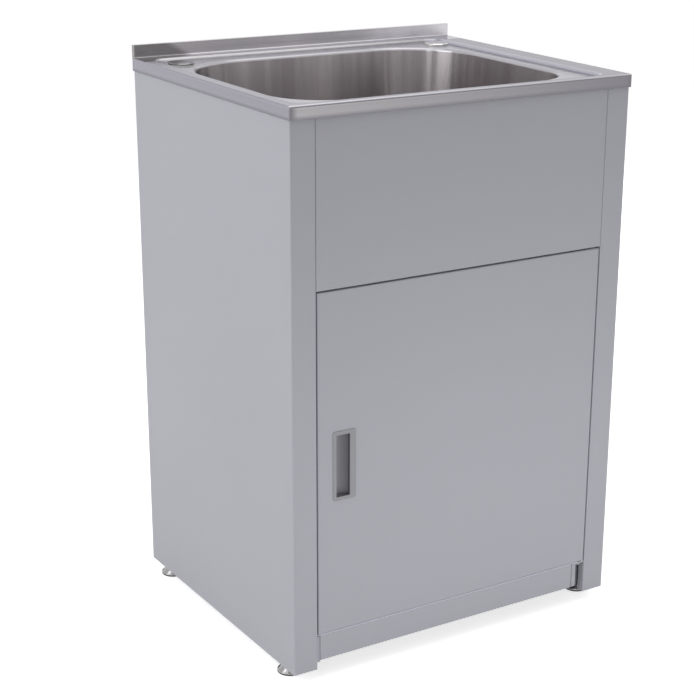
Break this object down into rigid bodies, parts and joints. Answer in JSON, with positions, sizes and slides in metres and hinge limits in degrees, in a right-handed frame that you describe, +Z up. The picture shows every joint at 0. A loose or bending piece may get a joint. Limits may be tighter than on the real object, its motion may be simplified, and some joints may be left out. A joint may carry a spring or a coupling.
{
  "type": "utility laundry sink",
  "caption": "Free-standing laundry sink: pressed stainless top with a deep bowl and rear upstand on a folded steel cabinet with a hinged door and levelling feet.",
  "frame": {"origin": "on the floor under the middle of the stainless top, feet screwed to their nominal height", "axes": "+Z up, +X to the right seen from the front, +Y from the door towards the rear upstand"},
  "size_m": [0.6, 0.507, 0.9],
  "materials": {
    "stainless_sheet": "satin stainless, brushed along its length",
    "polished_steel": "bright polished steel",
    "powder_coat": "pale grey powder coat with a fine texture",
    "zinc_plate": "bright zinc plate",
    "black_rubber": "matt black rubber",
    "damping_rubber": "dark grey damping mat",
    "grey_plastic": "satin mid grey plastic",
    "white_plastic": "off-white moulded plastic",
    "dark_magnet": "dark sintered magnet"
  },
  "bodies": {
    "cabinet": {"base_pan": "powder_coat", "by_pass_nut_left": "white_plastic", "by_pass_nut_right": "white_plastic", "by_pass_seal_left": "black_rubber", "by_pass_seal_right": "black_rubber", "by_pass_spigot_left": "white_plastic", "by_pass_spigot_right": "white_plastic", "catch_body": "white_plastic", "catch_magnet": "dark_magnet", "door_bumpers": "black_rubber", "door_stop_strip": "powder_coat", "fascia_rivets": "zinc_plate", "foot_bracket_front_left": "powder_coat", "foot_bracket_front_right": "powder_coat", "foot_bracket_rear_left": "powder_coat", "foot_bracket_rear_right": "powder_coat", "front_fascia": "powder_coat", "hinge_bracket_lower": "zinc_plate", "hinge_bracket_upper": "zinc_plate", "hinge_pin_lower": "zinc_plate", "hinge_pin_upper": "zinc_plate", "kick_panel": "powder_coat", "kick_rivets": "zinc_plate", "left_side_panel": "powder_coat", "rail_rivets": "zinc_plate", "rear_bottom_rail": "powder_coat", "rear_top_rail": "powder_coat", "right_side_panel": "powder_coat", "sound_pad": "damping_rubber", "strainer_grate": "polished_steel", "tub_nuts": "zinc_plate", "tub_studs": "zinc_plate", "tub_top": "stainless_sheet", "waste_body": "polished_steel", "waste_nut": "white_plastic", "waste_seal": "black_rubber", "weld_nuts": "zinc_plate"},
    "door": {"door_skin": "powder_coat", "door_inner_panel": "powder_coat", "handle_cup": "grey_plastic", "strike_plate": "zinc_plate", "hinge_bush_lower": "grey_plastic", "hinge_bush_upper": "grey_plastic"},
    "plug": {"plug": "black_rubber"},
    "by_pass_cap_left": {"by_pass_cap_left": "polished_steel"},
    "by_pass_cap_right": {"by_pass_cap_right": "polished_steel"},
    "foot_front_left": {"foot_disc_front_left": "zinc_plate", "foot_pad_front_left": "black_rubber", "foot_stud_front_left": "zinc_plate"},
    "foot_front_right": {"foot_disc_front_right": "zinc_plate", "foot_pad_front_right": "black_rubber", "foot_stud_front_right": "zinc_plate"},
    "foot_rear_left": {"foot_disc_rear_left": "zinc_plate", "foot_pad_rear_left": "black_rubber", "foot_stud_rear_left": "zinc_plate"},
    "foot_rear_right": {"foot_disc_rear_right": "zinc_plate", "foot_pad_rear_right": "black_rubber", "foot_stud_rear_right": "zinc_plate"}
  },
  "joints": [
    {"name": "door_hinge", "type": "hinge", "parent": "cabinet", "child": "door", "pos_m": [0.2475, -0.2435, 0.34275], "axis": [0, 0, 1], "range_deg": [0, 110]},
    {"name": "plug_lift", "type": "slide", "parent": "cabinet", "child": "plug", "axis": [0, 0, 1], "range_m": [0, 0.3]},
    {"name": "by_pass_cap_left_lift", "type": "slide", "parent": "cabinet", "child": "by_pass_cap_left", "axis": [0, 0, 1], "range_m": [0, 0.05]},
    {"name": "by_pass_cap_right_lift", "type": "slide", "parent": "cabinet", "child": "by_pass_cap_right", "axis": [0, 0, 1], "range_m": [0, 0.05]},
    {"name": "foot_front_left_screw", "type": "slide", "parent": "cabinet", "child": "foot_front_left", "axis": [0, 0, 1], "range_m": [-0.02, 0.0025]},
    {"name": "foot_front_right_screw", "type": "slide", "parent": "cabinet", "child": "foot_front_right", "axis": [0, 0, 1], "range_m": [-0.02, 0.0025]},
    {"name": "foot_rear_left_screw", "type": "slide", "parent": "cabinet", "child": "foot_rear_left", "axis": [0, 0, 1], "range_m": [-0.02, 0.0025]},
    {"name": "foot_rear_right_screw", "type": "slide", "parent": "cabinet", "child": "foot_rear_right", "axis": [0, 0, 1], "range_m": [-0.02, 0.0025]}
  ]
}
